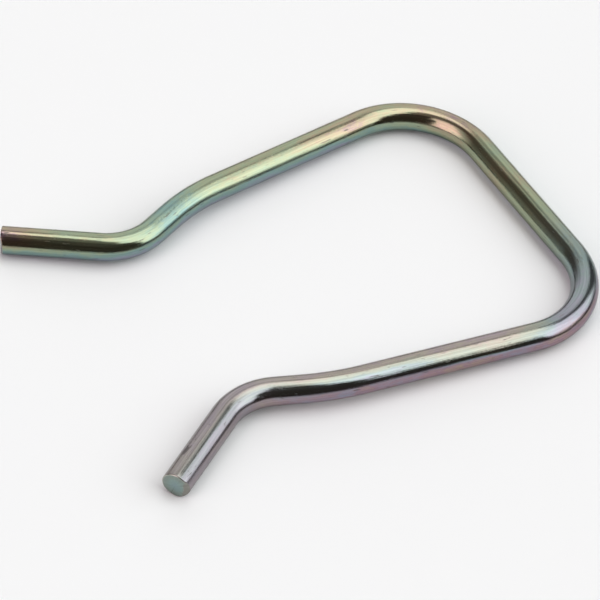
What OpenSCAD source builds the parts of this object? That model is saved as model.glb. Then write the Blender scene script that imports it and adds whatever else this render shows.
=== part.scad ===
// Hitch clip bent from one length of round bar.
// A straight crossbar closes the loop. Two arms run from it and draw together to a throat,
// and past the throat two free tips flare outwards, each cropped square at its end.
// The clip is modelled lying as it comes to rest, on its crossbar and on the rims of its two tips.
// +X points from the tips to the crossbar, +Y across the clip and +Z up.
// The origin is under the middle of the clip, on the surface that it lies on.

/* [Bar] */
// Diameter of the round bar
bar_d = 8; // [5:0.5:12]
// Radius that rounds the rim of each cropped end
rim_r = 0.3; // [0.1:0.1:1.5]
// Growth of the bar's radius where it is bent, from the metal pushed together there
bend_swell = 0.02; // [0.01:0.01:0.1]

/* [Crossbar] */
// Straight length of the crossbar, between its two corner bends
crossbar_l = 48; // [30:1:80]
// Centreline radius of the two corner bends
corner_r = 24.5; // [15:0.5:35]
// Turn of each corner bend: past 90 degrees the arms draw together
corner_turn = 97; // [85:0.5:105]

/* [Arms] */
// Straight length of each arm
arm_l = 52; // [30:1:80]
// Centreline radius of the knee, the gentle bend at the end of each arm
knee_r = 62; // [20:1:90]
// Turn of each knee, towards the other arm
knee_turn = 16; // [5:0.5:25]
// Roll of each knee out of the plane of the loop, which lets the tips dip below that plane
knee_dip = 14; // [0:1:30]
// Straight length between the knee and the flare, at the throat
throat_l = 8; // [2:0.5:20]

/* [Tips] */
// Centreline radius of the flare, the bend that turns each tip outwards
flare_r = 17; // [10:0.5:30]
// Turn of each flare, away from the other arm
flare_turn = 56; // [35:0.5:75]
// Straight length of each tip, from the flare to the cropped end
tip_l = 28; // [15:0.5:45]

/* [Hidden] */
$fn = 96;

bar_r = bar_d / 2;

// Yellow passivated zinc
zinc_colour = [0.69, 0.68, 0.56];

// The bends of one half, in order from the crossbar's middle to the tip.
// Each row is the feed and the roll of the bar that come before a bend, its turn and its radius.
// A positive turn goes towards the inside of the loop.
FEED = 0;
ROLL = 1;
TURN = 2;
RADIUS = 3;
BENDS = [
    [crossbar_l / 2, 0, corner_turn, corner_r],
    [arm_l, -knee_dip, knee_turn, knee_r],
    [throat_l, knee_dip, -flare_turn, flare_r]
];

// Centre of a bend, seen from where the bar enters it at the origin, along +X
function bend_centre(bend) = [0, sign(bend[TURN]) * bend[RADIUS], 0];

// How far a straight stretch runs on into a bend, where it still lies inside the swell
function lap(bend) = sqrt(bend[RADIUS] * bend_swell);

// Matrices that carry the end of the bar along: a shift, a turn about X and a turn about Z
function shifted(v) = [[1, 0, 0, v.x], [0, 1, 0, v.y], [0, 0, 1, v.z], [0, 0, 0, 1]];
function rolled(a) = [[1, 0, 0, 0], [0, cos(a), -sin(a), 0], [0, sin(a), cos(a), 0], [0, 0, 0, 1]];
function turned(a) = [[cos(a), -sin(a), 0, 0], [sin(a), cos(a), 0, 0], [0, 0, 1, 0], [0, 0, 0, 1]];

// Where the bar is, and which way it heads, after its first count bends.
// The frame is the loop's own, in which the crossbar's centreline is the Y axis.
function after_bends(count) =
    count == 0 ? turned(90) : after_bends(count - 1) * through_bend(BENDS[count - 1]);
function through_bend(bend) =
    shifted([bend[FEED], 0, 0]) * rolled(bend[ROLL])
    * shifted(bend_centre(bend)) * turned(bend[TURN]) * shifted(-bend_centre(bend));

tip_frame = after_bends(len(BENDS));
function on_tip(length) = [for (axis = [0 : 2]) (tip_frame * [length, 0, 0, 1])[axis]];
tip_end = on_tip(tip_l);
tip_rim = on_tip(tip_l - rim_r);

// The loop is turned about the crossbar until the tips' rims lie as low as the crossbar
rest_tilt = atan(tip_rim.z / tip_rim.x);

// The clip's reach along X, from the crossbar's far side to the furthest point of the tips' rims
function lying_x(point) = point.x * cos(rest_tilt) + point.z * sin(rest_tilt);
tip_slant = (lying_x(tip_end) - lying_x(tip_rim)) / rim_r;
rim_x = lying_x(tip_rim) - rim_r - (bar_r - rim_r) * sqrt(1 - pow(tip_slant, 2));
middle_x = (bar_r + bend_swell + rim_x) / 2;

// A straight stretch of the bar, along the X axis
module straight(from_x, to_x) {
    translate([from_x, 0, 0])
        rotate([0, 90, 0])
            cylinder(r = bar_r, h = to_x - from_x);
}

// A bend that the bar enters at the origin, along +X
module elbow(bend) {
    translate(bend_centre(bend))
        rotate([0, 0, -90 * sign(bend[TURN])])
            rotate_extrude(angle = bend[TURN])
                translate([bend[RADIUS], 0])
                    circle(r = bar_r + bend_swell);
}

// Carries its children to where the bar leaves a bend that it enters at the origin, along +X
module past(bend) {
    translate(bend_centre(bend))
        rotate([0, 0, bend[TURN]])
            translate(-bend_centre(bend))
                children();
}

// The cropped end of a tip, with its rim rounded
module cropped_end() {
    rotate([0, 90, 0])
        rotate_extrude() {
            square([bar_r - rim_r, rim_r]);
            translate([bar_r - rim_r, 0])
                intersection() {
                    circle(r = rim_r);
                    square(rim_r);
                }
        }
}

// The bar from where it enters bend i onwards, to the end of the tip
module bar_from(i) {
    bend = BENDS[i];
    next = BENDS[i + 1];
    elbow(bend);
    past(bend) {
        if (is_undef(next)) {
            straight(-lap(bend), tip_l - rim_r);
            translate([tip_l - rim_r, 0, 0])
                cropped_end();
        } else {
            straight(-lap(bend), next[FEED] + lap(next));
            translate([next[FEED], 0, 0])
                rotate([next[ROLL], 0, 0])
                    bar_from(i + 1);
        }
    }
}

module clip_bar() {
    corner = BENDS[0];
    crossbar_end = corner[FEED] + lap(corner);
    color(zinc_colour)
        translate([-middle_x, 0, bar_r + bend_swell])
            rotate([0, rest_tilt, 0]) {
                rotate([0, 0, 90])
                    straight(-crossbar_end, crossbar_end);
                for (side = [0, 1])
                    mirror([0, side, 0])
                        translate([0, corner[FEED], 0])
                            rotate([0, 0, 90])
                                bar_from(0);
            }
}

clip_bar();
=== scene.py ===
import math

import bpy
from mathutils import Matrix, Vector


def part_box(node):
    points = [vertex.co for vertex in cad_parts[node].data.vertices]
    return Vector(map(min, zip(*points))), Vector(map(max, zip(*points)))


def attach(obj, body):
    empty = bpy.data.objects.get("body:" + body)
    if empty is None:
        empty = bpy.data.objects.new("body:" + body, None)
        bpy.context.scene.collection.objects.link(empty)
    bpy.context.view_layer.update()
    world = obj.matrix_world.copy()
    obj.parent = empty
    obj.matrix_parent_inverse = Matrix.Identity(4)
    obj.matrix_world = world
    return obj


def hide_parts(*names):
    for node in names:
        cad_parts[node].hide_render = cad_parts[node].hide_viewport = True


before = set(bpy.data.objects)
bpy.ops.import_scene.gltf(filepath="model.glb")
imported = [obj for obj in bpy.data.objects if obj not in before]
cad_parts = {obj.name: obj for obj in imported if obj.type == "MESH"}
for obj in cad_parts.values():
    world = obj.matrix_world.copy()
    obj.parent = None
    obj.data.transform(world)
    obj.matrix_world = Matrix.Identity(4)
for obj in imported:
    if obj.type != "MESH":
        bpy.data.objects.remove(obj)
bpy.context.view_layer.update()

# Sizes of the bent bar, in metres and degrees, as the solid has them
BAR_DIAMETER = 0.008
BAR_RADIUS = BAR_DIAMETER / 2
RIM_RADIUS = 0.0003
BEND_SWELL = 0.00002
CROSSBAR_LENGTH = 0.048
CORNER_RADIUS = 0.0245
CORNER_TURN = 97.0
ARM_LENGTH = 0.052
KNEE_RADIUS = 0.062
KNEE_TURN = 16.0
KNEE_DIP = 14.0
THROAT_LENGTH = 0.008
FLARE_RADIUS = 0.017
FLARE_TURN = 56.0
TIP_LENGTH = 0.028

# Crown of the cropped end faces, and the shares of a face's flat radius that have a ring
END_CROWN = 0.00003
CROWN_SHARES = (0.02, 0.2, 0.38, 0.52, 0.64, 0.74, 0.82, 0.88, 0.93, 0.97)

# The side of each end where the crop rolled its rim over, the heights towards that side, in bar radii,
# between which it rolls off, and how deep it goes and how far along the bar it reaches, in metres
CROP_WAY = (0.0, -1.18, -0.12)
ROLL_HEIGHTS = (0.42, 1.0)
ROLL_DEPTH = 0.0008
ROLL_REACH = 0.0024

# Fineness of the swept bar
SIDES_AROUND = 96
DEGREES_PER_RING = 1.0
STRAIGHT_RING_GAP = 0.002
RIM_RINGS = 8

# Camera, as the photograph was taken: angles in degrees, lengths in metres
VIEW_AIM = Vector((-0.00901, -0.00727, 0.005))
VIEW_DISTANCE = 0.9131
VIEW_AZIMUTH = -33.465
VIEW_ELEVATION = 45.101
VIEW_ROLL = 5.092
LENS_MM = 197.42
SENSOR_MM = 36.0
CLIP_NEAR = 0.01
CLIP_FAR = 50.0

# The floor: half its side in metres, its colour, the painted shade that its colour takes on at grazing
# angles, which the bar reflects as a dark horizon, and the values of Layer Weight's Facing between which
# it does
FLOOR_HALF = 6.0
FLOOR_COLOUR = (0.906, 0.934, 0.934, 1.0)
GRAZING_PAINTED_SHADE = (0.16, 0.155, 0.15, 1.0)
PAINTED_SHADE_FACING = (0.80, 0.95)


def new_tree_group(name, kind, inputs, outputs):
    """A node group of the given kind with named sockets, and its input and output nodes."""
    group = bpy.data.node_groups.new(name, kind)
    for socket_name, socket_type, default in inputs:
        socket = group.interface.new_socket(socket_name, in_out="INPUT", socket_type=socket_type)
        if default is not None:
            socket.default_value = default
    for socket_name, socket_type in outputs:
        group.interface.new_socket(socket_name, in_out="OUTPUT", socket_type=socket_type)
    return group, group.nodes.new("NodeGroupInput"), group.nodes.new("NodeGroupOutput")


def join(tree, value, socket):
    """Sets an input socket to a plain value, or links another socket to it."""
    if isinstance(value, bpy.types.NodeSocket):
        tree.links.new(value, socket)
    else:
        socket.default_value = value


def math_node(tree, operation, first, second=None, third=None):
    """A Math node whose operands are numbers or sockets; gives its result socket."""
    node = tree.nodes.new("ShaderNodeMath")
    node.operation = operation
    for slot, value in enumerate((first, second, third)):
        if value is not None:
            join(tree, value, node.inputs[slot])
    return node.outputs[0]


def vector_node(tree, operation, first, second=None, output="Vector"):
    """A Vector Math node; gives its vector, or its value where that is asked for."""
    node = tree.nodes.new("ShaderNodeVectorMath")
    node.operation = operation
    join(tree, first, node.inputs[0])
    if second is not None:
        join(tree, second, node.inputs[1])
    return node.outputs[output]


def scaled(tree, vector, factor):
    """A vector socket times a number socket."""
    node = tree.nodes.new("ShaderNodeVectorMath")
    node.operation = "SCALE"
    tree.links.new(vector, node.inputs["Vector"])
    tree.links.new(factor, node.inputs["Scale"])
    return node.outputs["Vector"]


def smooth_range(tree, value, low, high, to_low=0.0, to_high=1.0):
    """Maps a value from low..high to to_low..to_high on a smooth step; ends are numbers or sockets."""
    node = tree.nodes.new("ShaderNodeMapRange")
    node.interpolation_type = "SMOOTHSTEP"
    ends = {"Value": value, "From Min": low, "From Max": high, "To Min": to_low, "To Max": to_high}
    for name, end in ends.items():
        join(tree, end, node.inputs[name])
    return node.outputs["Result"]


def mix_colour(tree, factor, first, second, blend="MIX"):
    """A colour Mix node; factor and colours are plain values or sockets."""
    node = tree.nodes.new("ShaderNodeMix")
    node.data_type = "RGBA"
    node.blend_type = blend
    for name, value in (("Factor_Float", factor), ("A_Color", first), ("B_Color", second)):
        join(tree, value, next(s for s in node.inputs if s.identifier == name))
    return next(s for s in node.outputs if s.identifier == "Result_Color")


def colour_ramp(tree, value, stops):
    """A colour ramp; each stop is its place and its colour."""
    node = tree.nodes.new("ShaderNodeValToRGB")
    ramp = node.color_ramp
    while len(ramp.elements) < len(stops):
        ramp.elements.new(0.5)
    for element, (place, colour) in zip(ramp.elements, stops):
        element.position = place
        element.color = (*colour, 1.0)
    tree.links.new(value, node.inputs["Fac"])
    return node.outputs["Color"]


def noise(tree, vector, cells, detail, roughness):
    """Noise with so many cells to a unit of each axis of a vector."""
    node = tree.nodes.new("ShaderNodeTexNoise")
    tree.links.new(vector_node(tree, "MULTIPLY", vector, cells), node.inputs["Vector"])
    node.inputs["Scale"].default_value = 1.0
    node.inputs["Detail"].default_value = detail
    node.inputs["Roughness"].default_value = roughness
    return node.outputs["Fac"]


def kept_vector(tree, name):
    """A vector that a mesh keeps on its points under a name."""
    node = tree.nodes.new("ShaderNodeAttribute")
    node.attribute_name = name
    return node.outputs["Vector"]


def placed_group(tree, group, inputs):
    """A shader node group placed in a tree, with its inputs set to plain values or linked to sockets."""
    node = tree.nodes.new("ShaderNodeGroup")
    node.node_tree = group
    for name, value in inputs.items():
        join(tree, value, node.inputs[name])
    return node


# The bar's centreline

def round_bend(turn, radius, share=1.0):
    """The step that carries the end of the bar round a share of a bend, which it enters along +X."""
    centre = Vector((0.0, math.copysign(radius, turn), 0.0))
    part_turn = Matrix.Rotation(math.radians(turn * share), 4, "Z")
    return Matrix.Translation(centre) @ part_turn @ Matrix.Translation(-centre)


def along_straight(place, length):
    """Ring centres inside a straight feed of the bar, with the full radius."""
    count = math.ceil(length / STRAIGHT_RING_GAP)
    return [(place @ Vector((length * i / count, 0.0, 0.0)), 1.0) for i in range(1, count)]


def cropped_end(place):
    """Ring centres of a tip's rounded rim and crowned face, each with its share of the bar's radius."""
    flat = BAR_RADIUS - RIM_RADIUS
    rings = []
    for step in range(RIM_RINGS + 1):
        turn = math.radians(90.0 * (1.0 - step / RIM_RINGS))
        depth = END_CROWN + RIM_RADIUS * (1.0 - math.cos(turn))
        rings.append((depth, flat + RIM_RADIUS * math.sin(turn)))
    for share in reversed(CROWN_SHARES):
        rings.append((END_CROWN * share * share, flat * share))
    return [(place @ Vector((TIP_LENGTH - d, 0.0, 0.0)), r / BAR_RADIUS) for d, r in rings]


def half_centreline():
    """Ring centres from the crossbar's middle to the end of the +Y tip, and where its rim starts.

    They are in the loop's own frame, and each ring centre comes with its share of the bar's radius.
    """
    bends = (
        (CROSSBAR_LENGTH / 2, 0.0, CORNER_TURN, CORNER_RADIUS),
        (ARM_LENGTH, -KNEE_DIP, KNEE_TURN, KNEE_RADIUS),
        (THROAT_LENGTH, KNEE_DIP, -FLARE_TURN, FLARE_RADIUS),
    )
    place = Matrix.Rotation(math.radians(90.0), 4, "Z")
    rings = [(place.translation.copy(), 1.0)]
    for feed, roll, turn, radius in bends:
        rings += along_straight(place, feed)
        place = place @ Matrix.Translation((feed, 0.0, 0.0))
        place = place @ Matrix.Rotation(math.radians(roll), 4, "X")
        steps = math.ceil(abs(turn) / DEGREES_PER_RING)
        for step in range(steps + 1):
            ring = place @ round_bend(turn, radius, step / steps)
            rings.append((ring.translation.copy(), 1.0))
        place = place @ round_bend(turn, radius)
    rings += along_straight(place, TIP_LENGTH - RIM_RADIUS - END_CROWN)
    rings += cropped_end(place)
    rim = place @ Vector((TIP_LENGTH - RIM_RADIUS, 0.0, 0.0))
    return rings, rim


def lying_centreline():
    """All ring centres from the +Y tip to the -Y tip, lying as the solid lies in the frame."""
    half, rim = half_centreline()
    whole = half[::-1] + [(Vector((p.x, -p.y, p.z)), share) for p, share in half[1:]]
    tilt = Matrix.Rotation(math.atan(rim.z / rim.x), 4, "Y")
    low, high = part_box("clip_bar")
    reach = BAR_RADIUS + BEND_SWELL
    lift = Vector((high[0] - reach, 0.0, low[2] + reach))
    return [(tilt @ p + lift, share) for p, share in whole]


def curve_from_rings(name, rings):
    """A poly curve object through the ring centres, with their shares of the radius."""
    curve = bpy.data.curves.new(name, "CURVE")
    curve.dimensions = "3D"
    spline = curve.splines.new("POLY")
    spline.points.add(len(rings) - 1)
    for spot, (point, share) in zip(spline.points, rings):
        spot.co = (*point, 1.0)
        spot.radius = share
    piece = bpy.data.objects.new(name, curve)
    bpy.context.scene.collection.objects.link(piece)
    return piece


# The swept bar

def capture(tree, geometry, kind, name, value):
    """Keeps a value on the points of some geometry; gives the geometry and the kept value."""
    node = tree.nodes.new("GeometryNodeCaptureAttribute")
    node.capture_items.new(kind, name)
    tree.links.new(geometry, node.inputs["Geometry"])
    tree.links.new(value, node.inputs[name])
    return node.outputs["Geometry"], node.outputs[name]


def store(tree, geometry, name, value):
    """Stores a vector on the points of a mesh under a name that a material can read."""
    node = tree.nodes.new("GeometryNodeStoreNamedAttribute")
    node.data_type = "FLOAT_VECTOR"
    node.domain = "POINT"
    node.inputs["Name"].default_value = name
    tree.links.new(geometry, node.inputs["Geometry"])
    tree.links.new(value, node.inputs["Value"])
    return node.outputs["Geometry"]


def swept_bar_tree():
    """Geometry Nodes that sweep a round section along a curve.

    The mesh keeps two vectors: straight_bar, the length along the bar and the place in the section,
    and off_axis, the way from the centreline to the surface, in bar radii.
    """
    tree, start, end = new_tree_group(
        "swept_bar", "GeometryNodeTree",
        (
            ("Centreline", "NodeSocketGeometry", None),
            ("Bar Diameter", "NodeSocketFloat", BAR_DIAMETER),
            ("Sides", "NodeSocketInt", SIDES_AROUND),
            ("Roll Depth", "NodeSocketFloat", ROLL_DEPTH),
            ("Roll Reach", "NodeSocketFloat", ROLL_REACH),
            ("Finish", "NodeSocketMaterial", None),
        ),
        (("Bar", "NodeSocketGeometry"),),
    )
    nodes, links = tree.nodes, tree.links
    bar_radius = math_node(tree, "MULTIPLY", start.outputs["Bar Diameter"], 0.5)

    upright = nodes.new("GeometryNodeSetCurveNormal")
    upright.mode = "Z_UP"
    links.new(start.outputs["Centreline"], upright.inputs["Curve"])
    position = nodes.new("GeometryNodeInputPosition").outputs["Position"]
    length = nodes.new("GeometryNodeSplineParameter").outputs["Length"]
    share = nodes.new("GeometryNodeInputRadius").outputs["Radius"]
    path, along = capture(tree, upright.outputs["Curve"], "FLOAT", "Along", length)
    path, centre = capture(tree, path, "VECTOR", "Centre", position)
    tangent = nodes.new("GeometryNodeInputTangent").outputs["Tangent"]
    path, heading = capture(tree, path, "VECTOR", "Heading", tangent)
    whole = nodes.new("GeometryNodeCurveLength")
    links.new(start.outputs["Centreline"], whole.inputs["Curve"])

    circle = nodes.new("GeometryNodeCurvePrimitiveCircle")
    links.new(start.outputs["Sides"], circle.inputs["Resolution"])
    links.new(bar_radius, circle.inputs["Radius"])
    section, spot = capture(tree, circle.outputs["Curve"], "VECTOR", "Spot", position)

    sweep = nodes.new("GeometryNodeCurveToMesh")
    links.new(path, sweep.inputs["Curve"])
    links.new(section, sweep.inputs["Profile Curve"])
    links.new(share, sweep.inputs["Scale"])
    sweep.inputs["Fill Caps"].default_value = True

    parts = nodes.new("ShaderNodeSeparateXYZ")
    links.new(spot, parts.inputs["Vector"])
    straight = nodes.new("ShaderNodeCombineXYZ")
    links.new(along, straight.inputs["X"])
    links.new(parts.outputs["X"], straight.inputs["Y"])
    links.new(parts.outputs["Y"], straight.inputs["Z"])
    mesh = store(tree, sweep.outputs["Mesh"], "straight_bar", straight.outputs["Vector"])
    outwards = vector_node(tree, "SUBTRACT", position, centre)
    off_axis = scaled(tree, outwards, math_node(tree, "DIVIDE", 1.0, bar_radius))
    mesh = store(tree, mesh, "off_axis", off_axis)

    # The rolled-over rims are pushed in along the bar, forwards at its start and backwards at its end
    to_end = math_node(tree, "SUBTRACT", whole.outputs["Length"], along)
    near_end = math_node(tree, "LESS_THAN", to_end, along)
    inwards = math_node(tree, "MULTIPLY_ADD", near_end, -2.0, 1.0)
    from_end = math_node(tree, "MINIMUM", along, to_end)
    from_end = math_node(tree, "DIVIDE", from_end, start.outputs["Roll Reach"])
    fade = math_node(tree, "MAXIMUM", math_node(tree, "SUBTRACT", 1.0, from_end), 0.0)
    fade = math_node(tree, "POWER", fade, 2.0)
    side = vector_node(tree, "DOT_PRODUCT", off_axis, CROP_WAY, "Value")
    roll = smooth_range(tree, side, *ROLL_HEIGHTS)
    roll = math_node(tree, "MULTIPLY", roll, start.outputs["Roll Depth"])
    roll = math_node(tree, "MULTIPLY", math_node(tree, "MULTIPLY", roll, fade), inwards)
    rolled = nodes.new("GeometryNodeSetPosition")
    links.new(mesh, rolled.inputs["Geometry"])
    links.new(scaled(tree, heading, roll), rolled.inputs["Offset"])
    mesh = rolled.outputs["Geometry"]

    realize = nodes.new("GeometryNodeRealizeInstances")
    links.new(mesh, realize.inputs["Geometry"])
    finish = nodes.new("GeometryNodeSetMaterial")
    links.new(realize.outputs["Geometry"], finish.inputs["Geometry"])
    links.new(start.outputs["Finish"], finish.inputs["Material"])
    links.new(finish.outputs["Geometry"], end.inputs["Bar"])
    return tree


def set_input(modifier, name, value):
    """Sets a Geometry Nodes input by its socket's identifier."""
    for socket in modifier.node_group.interface.items_tree:
        if socket.item_type == "SOCKET" and socket.in_out == "INPUT" and socket.name == name:
            modifier[socket.identifier] = value


def plain_mesh(source, name):
    """A plain mesh object of an evaluated object, which is then removed."""
    graph = bpy.context.evaluated_depsgraph_get()
    mesh = bpy.data.meshes.new_from_object(source.evaluated_get(graph))
    bpy.data.objects.remove(source)
    piece = bpy.data.objects.new(name, mesh)
    mesh.name = name
    bpy.context.scene.collection.objects.link(piece)
    return piece


def bent_bar(rings, finish):
    """The clip's bar, swept along its centreline, as a plain mesh that is shaded smooth."""
    guide = curve_from_rings("bar_centreline", rings)
    sweep = guide.modifiers.new("sweep", "NODES")
    sweep.node_group = swept_bar_tree()
    set_input(sweep, "Bar Diameter", BAR_DIAMETER)
    set_input(sweep, "Sides", SIDES_AROUND)
    set_input(sweep, "Roll Depth", ROLL_DEPTH)
    set_input(sweep, "Roll Reach", ROLL_REACH)
    set_input(sweep, "Finish", finish)
    bar = plain_mesh(guide, "bent_bar")
    bar.data.polygons.foreach_set("use_smooth", [True] * len(bar.data.polygons))
    return bar


# The finish: bright zinc under a thin passivation film that dried unevenly

# Colours of the film as it thickens, from one yellow to the next
FILM_COLOURS = (
    (0.00, (0.323, 0.353, 0.235)),
    (0.16, (0.376, 0.313, 0.214)),
    (0.33, (0.305, 0.206, 0.244)),
    (0.50, (0.268, 0.284, 0.359)),
    (0.67, (0.206, 0.318, 0.300)),
    (0.84, (0.279, 0.349, 0.254)),
    (1.00, (0.323, 0.353, 0.235)),
)
BARE_ZINC = (0.311, 0.294, 0.305, 1.0)

# Marks where the film dried thicker or thinner: place along the bar from its +Y tip, and reach,
# in metres, and change of film
FILM_MARKS = (
    (0.000, 0.020, 0.28),
    (0.051, 0.017, -0.21),
    (0.122, 0.036, 0.22),
    (0.152, 0.018, 0.18),
    (0.182, 0.026, 0.09),
    (0.243, 0.026, -0.15),
    (0.268, 0.024, 0.50),
    (0.352, 0.020, -0.10),
)

# The same for marks on the lower side
LOW_MARKS = (
    (0.134, 0.024, 0.20),
    (0.236, 0.020, 0.08),
    (0.287, 0.016, -0.04),
)

# The way up as the film drained, the heights that way, in bar radii, between which the film changes,
# with its thickness at them, and the heights between which its marks and bare zinc set in
DRAIN_WAY = (-0.35, 0.50, 0.79)
BACK_HEIGHTS = (0.35, -0.75)
BACK_FILM = (0.95, 0.56)
FRONT_LOW_HEIGHTS = (-0.25, 0.25)
FRONT_LOW_FILM = (0.33, 0.62)
FRONT_TOP_HEIGHTS = (0.35, 0.90)
FRONT_TOP_RISE = 0.62
MARK_HEIGHTS = (-0.35, 0.05)
GREY_HEIGHTS = (-0.45, 0.15)

# Shares of the bar's length, from its +Y tip, between which the film of that back half gives way to
# the front half's, and between which the front half's top takes on a film of its own
FRONT_FROM = 0.50
FRONT_TO = 0.62
TOP_FROM = 0.64
TOP_TO = 0.71

# Shares of the bar's length between which the film thins out to the front tip,
# how bare the zinc is there on its lower and upper side, and how much rougher it is
TIP_FROM = 0.83
TIP_TO = 0.93
TIP_BARE = (0.70, 0.22)
TIP_ROUGHNESS = 0.06

# Wear of the front tip, and of the scuff on its top: place and reach along the bar in metres,
# and the heights, in bar radii, between which the scuff sets in
TIP_WEAR = 0.015
SCUFF_WEAR = 0.15
SCUFF_PLACE = 0.3655
SCUFF_REACH = 0.006
SCUFF_HEIGHTS = (0.80, 0.96)

# How much the film's slow clouds and fine speckles change its thickness, how far the clouds shift the
# border between the halves, in metres, and how bare the zinc is on top of the front half
UNEVENNESS = 0.52
SPECKLE = 0.40
BORDER_WANDER = 0.1
GREYNESS = 0.50

# Noise of the film and of the zinc's surface: its cells to a metre, along the bar and across it,
# its detail and its roughness
CLOUDS = ((70.0, 160.0, 160.0), 4.0, 0.6)
SPECKLES = ((330.0, 900.0, 900.0), 4.0, 0.7)
WAVES = ((90.0, 350.0, 350.0), 1.0, 0.5)
GRAIN = ((1200.0, 2600.0, 2600.0), 2.0, 0.6)


def film_group(length):
    """The film on a bar of some length: its colour, a mask of the bare tip, and the wear."""
    group, start, end = new_tree_group(
        "passivation_film", "ShaderNodeTree",
        (
            ("Straight Bar", "NodeSocketVector", None),
            ("Off Axis", "NodeSocketVector", None),
            ("Unevenness", "NodeSocketFloat", UNEVENNESS),
            ("Speckle", "NodeSocketFloat", SPECKLE),
            ("Greyness", "NodeSocketFloat", GREYNESS),
        ),
        (("Colour", "NodeSocketColor"), ("Tip", "NodeSocketFloat"), ("Wear", "NodeSocketFloat")),
    )
    straight = start.outputs["Straight Bar"]
    parts = group.nodes.new("ShaderNodeSeparateXYZ")
    group.links.new(straight, parts.inputs["Vector"])
    along = parts.outputs["X"]
    height = vector_node(group, "DOT_PRODUCT", start.outputs["Off Axis"], DRAIN_WAY, "Value")

    def about_zero(pattern, strength):
        """Noise about zero, times one of the group's inputs."""
        level = math_node(group, "SUBTRACT", noise(group, straight, *pattern), 0.5)
        return math_node(group, "MULTIPLY", level, start.outputs[strength])

    def near(place, reach, peak):
        """A soft rise to a peak at a place along the bar."""
        off = math_node(group, "ABSOLUTE", math_node(group, "SUBTRACT", along, place))
        return smooth_range(group, off, reach, 0.0, 0.0, peak)

    # The back half's film, which gives way to the front half's
    clouds = about_zero(CLOUDS, "Unevenness")
    border = math_node(group, "MULTIPLY_ADD", clouds, BORDER_WANDER, along)
    front = smooth_range(group, border, length * FRONT_FROM, length * FRONT_TO)
    back_film = smooth_range(group, height, *BACK_HEIGHTS, *BACK_FILM)
    top = smooth_range(group, along, length * TOP_FROM, length * TOP_TO)
    top = math_node(group, "MULTIPLY", top, smooth_range(group, height, *FRONT_TOP_HEIGHTS))
    front_film = smooth_range(group, height, *FRONT_LOW_HEIGHTS, *FRONT_LOW_FILM)
    front_film = math_node(group, "MULTIPLY_ADD", top, FRONT_TOP_RISE, front_film)
    step = math_node(group, "SUBTRACT", front_film, back_film)
    film = math_node(group, "MULTIPLY_ADD", front, step, back_film)

    # Marks on the upper side, as far as the front half's top, and on the lower side
    upper = math_node(group, "SUBTRACT", 1.0, top)
    upper = math_node(group, "MULTIPLY", upper, smooth_range(group, height, *MARK_HEIGHTS))
    lower = smooth_range(group, height, *reversed(MARK_HEIGHTS))
    for side, marks in ((upper, FILM_MARKS), (lower, LOW_MARKS)):
        for place, reach, change in marks:
            film = math_node(group, "MULTIPLY_ADD", near(place, reach, change), side, film)
    film = math_node(group, "ADD", film, about_zero(SPECKLES, "Speckle"))
    film = math_node(group, "FRACT", math_node(group, "ADD", film, clouds))
    colour = colour_ramp(group, film, FILM_COLOURS)

    # Bare zinc on top of the front half and at the front tip
    tip = smooth_range(group, along, length * TIP_FROM, length * TIP_TO)
    grey = math_node(group, "MULTIPLY", front, start.outputs["Greyness"])
    grey = math_node(group, "MULTIPLY", grey, smooth_range(group, height, *GREY_HEIGHTS))
    bare = smooth_range(group, height, *GREY_HEIGHTS, *TIP_BARE)
    grey = math_node(group, "MULTIPLY_ADD", tip, bare, grey)
    colour = mix_colour(group, grey, colour, BARE_ZINC)

    scuff = near(SCUFF_PLACE, SCUFF_REACH, SCUFF_WEAR)
    scuff = math_node(group, "MULTIPLY", scuff, smooth_range(group, height, *SCUFF_HEIGHTS))
    wear = math_node(group, "MULTIPLY_ADD", tip, TIP_WEAR, scuff)
    for name, value in (("Colour", colour), ("Tip", tip), ("Wear", wear)):
        group.links.new(value, end.inputs[name])
    return group


# Draw lines along the bar: their width and length in metres, the detail and roughness of their noise
LINE_WIDTH = 0.0004
LINE_LENGTH = 0.02
LINE_NOISE = (3.0, 0.6)

# Levels of the draw lines between which they shade the film, and between which they dull the zinc,
# with the shades and the roughness from end to end
SHADE_LEVELS = (0.25, 0.75)
LINE_SHADES = (0.85, 1.10)
DULL_LEVELS = (0.3, 0.7)
LINE_ROUGHNESS = (0.08, 0.17)

# Short nicks: their cells to a cell of the draw lines, the detail and roughness of their noise, the
# levels between which one sets in, and how much of its colour and its roughness it adds
NICK_CELLS = (6.0, 0.7, 0.7)
NICK_NOISE = (1.0, 0.4)
NICK_LEVELS = (0.69, 0.76)
NICK_COLOUR = (0.10, 0.09, 0.085, 1.0)
NICK_SHARE = 0.6
NICK_ROUGHNESS = 0.2


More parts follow.
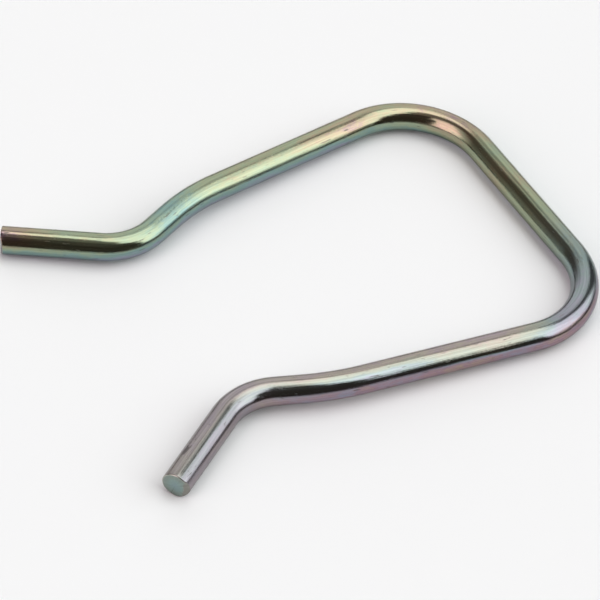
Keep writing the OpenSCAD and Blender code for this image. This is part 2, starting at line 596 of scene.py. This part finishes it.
def draw_line_group():
    """Fine lines that drawing left along the bar, and short nicks, which wear adds to."""
    group, start, end = new_tree_group(
        "draw_lines", "ShaderNodeTree",
        (
            ("Straight Bar", "NodeSocketVector", None),
            ("Line Width", "NodeSocketFloat", LINE_WIDTH),
            ("Line Length", "NodeSocketFloat", LINE_LENGTH),
            ("Wear", "NodeSocketFloat", 0.0),
        ),
        (("Lines", "NodeSocketFloat"), ("Nicks", "NodeSocketFloat")),
    )
    straight = start.outputs["Straight Bar"]
    across = math_node(group, "DIVIDE", 1.0, start.outputs["Line Width"])
    lengthways = math_node(group, "DIVIDE", 1.0, start.outputs["Line Length"])
    cells = group.nodes.new("ShaderNodeCombineXYZ")
    for axis, value in (("X", lengthways), ("Y", across), ("Z", across)):
        group.links.new(value, cells.inputs[axis])
    line_cells = cells.outputs["Vector"]
    group.links.new(noise(group, straight, line_cells, *LINE_NOISE), end.inputs["Lines"])
    nick_cells = vector_node(group, "MULTIPLY", line_cells, NICK_CELLS)
    nicks = noise(group, straight, nick_cells, *NICK_NOISE)
    nicks = math_node(group, "ADD", nicks, start.outputs["Wear"])
    group.links.new(smooth_range(group, nicks, *NICK_LEVELS), end.inputs["Nicks"])
    return group


# Colours of the cropped faces, from the middle out, and of the rims' worn side, lightened past bare zinc
# as a painted highlight, and rolled-over side
CROP_COLOURS = (
    (0.30, (0.275, 0.368, 0.383)),
    (0.65, (0.271, 0.362, 0.347)),
    (1.00, (0.268, 0.320, 0.289)),
)
WORN_RIM_PAINTED_HIGHLIGHT = (0.42, 0.42, 0.37, 1.0)
ROLLED_RIM = (0.262, 0.258, 0.233, 1.0)

# Distances from the axis, in bar radii, between which a rim and a cropped face set in, and heights
# towards the rolled-over side between which a rim goes from worn, with its painted highlight, to rolled,
# and a face sets in
RIM_DISTANCES = (0.998, 0.985)
FACE_DISTANCES = (0.94, 0.90)
RIM_HEIGHTS = (-0.3, 0.3)
FACE_HEIGHTS = (0.80, 0.62)

# Marks on the cropped faces: their cells to a bar radius, detail and roughness,
# how far they shift a face's colours and its edge, in bar radii, and how much rougher the faces are
CROP_MARKS = ((3.0, 3.0, 3.0), 4.0, 0.65)
COLOUR_SHIFT = 0.5
EDGE_SHIFT = 0.3
CROP_ROUGHNESS = 0.25

# Tint of the reflection at the bar's edges
EDGE_TINT = (0.74, 0.74, 0.74, 1.0)

# Depths of the surface's relief, in metres
WAVE_DEPTH = 0.00006
LINE_DEPTH = 0.000028
GRAIN_DEPTH = 0.000012


def cropped_ends(tree, off_axis, colour):
    """Puts the rims and the cropped faces on the bar's colour; gives it and a mask of the faces."""
    from_axis = vector_node(tree, "LENGTH", off_axis, None, "Value")
    crop_side = vector_node(tree, "DOT_PRODUCT", off_axis, CROP_WAY, "Value")
    rolled = smooth_range(tree, crop_side, *RIM_HEIGHTS)
    # The worn side of a rim is bare zinc, lightened further as a painted highlight; the rolled-over side
    # keeps its darker grey
    rim_colour = mix_colour(tree, rolled, WORN_RIM_PAINTED_HIGHLIGHT, ROLLED_RIM)
    colour = mix_colour(tree, smooth_range(tree, from_axis, *RIM_DISTANCES), colour, rim_colour)

    # A face is nearer to the axis than its rim, and stops short of the rolled-over side
    marks = noise(tree, off_axis, *CROP_MARKS)
    edge = math_node(tree, "MULTIPLY_ADD", marks, EDGE_SHIFT, crop_side)
    face = smooth_range(tree, from_axis, *FACE_DISTANCES)
    face = math_node(tree, "MULTIPLY", face, smooth_range(tree, edge, *FACE_HEIGHTS))
    middle = math_node(tree, "MULTIPLY_ADD", marks, COLOUR_SHIFT, from_axis)
    return mix_colour(tree, face, colour, colour_ramp(tree, middle, CROP_COLOURS)), face


def surface_relief(tree, straight, lines):
    """The normal of the draw lines and the zinc's grain, over a slow waviness of the bar."""
    relief = math_node(tree, "MULTIPLY", noise(tree, straight, *WAVES), WAVE_DEPTH)
    relief = math_node(tree, "MULTIPLY_ADD", lines, LINE_DEPTH, relief)
    relief = math_node(tree, "MULTIPLY_ADD", noise(tree, straight, *GRAIN), GRAIN_DEPTH, relief)
    bump = tree.nodes.new("ShaderNodeBump")
    bump.inputs["Strength"].default_value = 1.0
    bump.inputs["Distance"].default_value = 1.0
    tree.links.new(relief, bump.inputs["Height"])
    return bump.outputs["Normal"]


def passivated_zinc(length):
    """Bright zinc under a thin passivation film, drawn along the bar and cropped at its ends."""
    material = bpy.data.materials.new("passivated_zinc")
    material.use_nodes = True
    tree = material.node_tree
    shader = tree.nodes["Principled BSDF"]
    shader.inputs["Metallic"].default_value = 1.0
    shader.inputs["Specular Tint"].default_value = EDGE_TINT

    straight = kept_vector(tree, "straight_bar")
    off_axis = kept_vector(tree, "off_axis")
    film = placed_group(tree, film_group(length), {
        "Straight Bar": straight,
        "Off Axis": off_axis,
        "Unevenness": UNEVENNESS,
        "Speckle": SPECKLE,
        "Greyness": GREYNESS,
    })
    drawn = placed_group(tree, draw_line_group(), {
        "Straight Bar": straight,
        "Line Width": LINE_WIDTH,
        "Line Length": LINE_LENGTH,
        "Wear": film.outputs["Wear"],
    })
    lines = drawn.outputs["Lines"]
    nicks = drawn.outputs["Nicks"]

    colour, face = cropped_ends(tree, off_axis, film.outputs["Colour"])
    line_shade = smooth_range(tree, lines, *SHADE_LEVELS, *LINE_SHADES)
    shade = tree.nodes.new("ShaderNodeCombineColor")
    for channel in ("Red", "Green", "Blue"):
        tree.links.new(line_shade, shade.inputs[channel])
    colour = mix_colour(tree, 1.0, colour, shade.outputs["Color"], "MULTIPLY")
    colour = mix_colour(tree, math_node(tree, "MULTIPLY", nicks, NICK_SHARE), colour, NICK_COLOUR)
    tree.links.new(colour, shader.inputs["Base Color"])

    rough = smooth_range(tree, lines, *DULL_LEVELS, *LINE_ROUGHNESS)
    tip = film.outputs["Tip"]
    for mask, more in ((face, CROP_ROUGHNESS), (nicks, NICK_ROUGHNESS), (tip, TIP_ROUGHNESS)):
        rough = math_node(tree, "MULTIPLY_ADD", mask, more, rough)
    tree.links.new(rough, shader.inputs["Roughness"])
    tree.links.new(surface_relief(tree, straight, lines), shader.inputs["Normal"])
    return material


def pale_floor():
    """A matt, pale floor whose colour darkens where it is seen at a grazing angle: painted shade, which
    the bar reflects as a dark horizon.
    """
    material = bpy.data.materials.new("pale_floor")
    material.use_nodes = True
    shader = material.node_tree.nodes["Principled BSDF"]
    grazing = material.node_tree.nodes.new("ShaderNodeLayerWeight")
    grazing.inputs["Blend"].default_value = 0.5
    # Painted shade: the floor's colour darkens towards grazing angles so that the bar reflects a dark
    # horizon
    dim = smooth_range(material.node_tree, grazing.outputs["Facing"], *PAINTED_SHADE_FACING)
    colour = mix_colour(material.node_tree, dim, FLOOR_COLOUR, GRAZING_PAINTED_SHADE)
    material.node_tree.links.new(colour, shader.inputs["Base Color"])
    shader.inputs["Roughness"].default_value = 1.0
    shader.inputs["Specular IOR Level"].default_value = 0.0
    return material


# The studio

def studio_panel_group():
    """A mask of one soft-edged panel of the studio, by its direction: angles in degrees."""
    group, start, end = new_tree_group(
        "studio_panel", "ShaderNodeTree",
        (
            ("Azimuth", "NodeSocketFloat", 0.0),
            ("Elevation", "NodeSocketFloat", 0.0),
            ("Centre Azimuth", "NodeSocketFloat", 0.0),
            ("Centre Elevation", "NodeSocketFloat", 0.0),
            ("Half Width", "NodeSocketFloat", 20.0),
            ("Half Height", "NodeSocketFloat", 20.0),
            ("Side Softness", "NodeSocketFloat", 5.0),
            ("Top Softness", "NodeSocketFloat", 5.0),
            ("Lean", "NodeSocketFloat", 0.0),
        ),
        (("Mask", "NodeSocketFloat"),),
    )

    def side_mask(offset, half, softness):
        """A soft mask of the offsets that lie within half of the panel's size."""
        offset = math_node(group, "ABSOLUTE", math_node(group, "WRAP", offset, 180.0, -180.0))
        outer = math_node(group, "ADD", start.outputs[half], start.outputs[softness])
        inner = math_node(group, "SUBTRACT", start.outputs[half], start.outputs[softness])
        return smooth_range(group, offset, outer, inner)

    up = math_node(group, "SUBTRACT", start.outputs["Elevation"], start.outputs["Centre Elevation"])
    across = math_node(group, "SUBTRACT", start.outputs["Azimuth"], start.outputs["Centre Azimuth"])
    across = math_node(group, "SUBTRACT", across, math_node(group, "MULTIPLY", up, start.outputs["Lean"]))
    wide = side_mask(across, "Half Width", "Side Softness")
    tall = side_mask(up, "Half Height", "Top Softness")
    group.links.new(math_node(group, "MULTIPLY", wide, tall), end.inputs["Mask"])
    return group


# Light of the studio's tent, and the panels in it, of which a later one covers the earlier ones.
# Each has its azimuth from and to, its elevation from and to, the softness of its sides and of its
# top and bottom, all in degrees, its lean in degrees of azimuth to one of elevation, and its light.
TENT_LIGHT = (0.98, 0.985, 0.99, 1.0)
PANELS = (
    ("overhead", -92.0, 98.0, 59.0, 121.0, 5.0, 3.0, 0.0, (2.31, 2.31, 2.29, 1.0)),
    ("zenith_back", 98.0, 268.0, 62.0, 118.0, 9.0, 10.0, 0.0, (0.295, 0.285, 0.265, 1.0)),
    ("left_wall", 168.0, 208.0, -8.0, 58.0, 9.0, 11.0, 0.0, (2.23, 1.85, 1.95, 1.0)),
    ("far_wall", 44.0, 84.0, 4.0, 46.0, 8.0, 7.0, 0.0, (1.09, 1.11, 1.11, 1.0)),
    ("side_softbox", -30.0, 5.0, 14.0, 66.0, 3.0, 7.0, 0.0, (1.85, 1.85, 1.87, 1.0)),
    ("key_softbox", -78.0, -24.0, 15.0, 66.0, 4.0, 9.0, 0.0, (2.41, 2.41, 2.41, 1.0)),
    ("low_edge", -84.0, 5.0, -8.0, 9.0, 5.0, 7.0, 0.0, (0.20, 0.20, 0.20, 1.0)),
    ("right_gap", 8.0, 28.0, 1.0, 58.0, 4.0, 3.0, 0.0, (0.125, 0.125, 0.125, 1.0)),
    ("top_line", 18.0, 39.0, 46.5, 58.5, 4.0, 3.0, 0.0, (0.25, 0.25, 0.25, 1.0)),
    ("far_line", 62.0, 84.0, 47.0, 58.0, 4.0, 3.0, 0.0, (0.475, 0.475, 0.465, 1.0)),
    ("back_gap", 97.0, 155.0, -5.0, 74.0, 20.0, 14.0, 0.0, (0.138, 0.112, 0.101, 1.0)),
    ("camera_door", -149.5, -66.0, -6.0, 48.0, 2.4, 4.0, -0.25, (0.059, 0.0475, 0.040, 1.0)),
    ("camera_head", -150.0, -79.0, 40.0, 70.0, 4.0, 5.0, -1.0, (0.080, 0.070, 0.062, 1.0)),
)


def studio_world():
    """A tent of even light with panels in it, which light the bar and show in its reflections."""
    world = bpy.data.worlds.new("studio")
    bpy.context.scene.world = world
    world.use_nodes = True
    tree = world.node_tree
    coordinate = tree.nodes.new("ShaderNodeTexCoord")
    parts = tree.nodes.new("ShaderNodeSeparateXYZ")
    tree.links.new(coordinate.outputs["Generated"], parts.inputs["Vector"])
    azimuth = math_node(tree, "ARCTAN2", parts.outputs["Y"], parts.outputs["X"])
    azimuth = math_node(tree, "DEGREES", azimuth)
    elevation = math_node(tree, "DEGREES", math_node(tree, "ARCSINE", parts.outputs["Z"]))
    panel_group = studio_panel_group()
    light = TENT_LIGHT
    for name, az_from, az_to, el_from, el_to, side_soft, top_soft, lean, colour in PANELS:
        panel = placed_group(tree, panel_group, {
            "Azimuth": azimuth,
            "Elevation": elevation,
            "Centre Azimuth": (az_from + az_to) / 2,
            "Centre Elevation": (el_from + el_to) / 2,
            "Half Width": (az_to - az_from) / 2,
            "Half Height": (el_to - el_from) / 2,
            "Side Softness": side_soft,
            "Top Softness": top_soft,
            "Lean": lean,
        })
        panel.label = name
        light = mix_colour(tree, panel.outputs["Mask"], light, colour)
    tree.links.new(light, tree.nodes["Background"].inputs["Color"])


def studio_floor():
    """A wide floor under the clip."""
    mesh = bpy.data.meshes.new("floor")
    corners = [(x * FLOOR_HALF, y * FLOOR_HALF, 0.0) for x, y in ((-1, -1), (1, -1), (1, 1), (-1, 1))]
    mesh.from_pydata(corners, [], [(0, 1, 2, 3)])
    floor = bpy.data.objects.new("floor", mesh)
    bpy.context.scene.collection.objects.link(floor)
    mesh.materials.append(pale_floor())


def photo_camera():
    """The camera, aimed and rolled as for the photograph."""
    camera = bpy.data.cameras.new("photo_camera")
    camera.sensor_width = SENSOR_MM
    camera.lens = LENS_MM
    camera.clip_start = CLIP_NEAR
    camera.clip_end = CLIP_FAR
    azimuth = math.radians(VIEW_AZIMUTH)
    elevation = math.radians(VIEW_ELEVATION)
    back = Vector((
        math.sin(azimuth) * math.cos(elevation),
        -math.cos(azimuth) * math.cos(elevation),
        math.sin(elevation),
    ))
    holder = bpy.data.objects.new("photo_camera", camera)
    bpy.context.scene.collection.objects.link(holder)
    turn = back.to_track_quat("Z", "Y").to_matrix().to_4x4()
    roll = Matrix.Rotation(math.radians(VIEW_ROLL), 4, "Z")
    holder.matrix_world = Matrix.Translation(VIEW_AIM + back * VIEW_DISTANCE) @ turn @ roll
    bpy.context.scene.camera = holder


bpy.context.scene.view_settings.view_transform = "Standard"
photo_camera()
studio_world()
studio_floor()
bar_rings = lying_centreline()
bar_length = sum((b[0] - a[0]).length for a, b in zip(bar_rings, bar_rings[1:]))
bar = bent_bar(bar_rings, passivated_zinc(bar_length))
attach(bar, "root")
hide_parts("clip_bar")
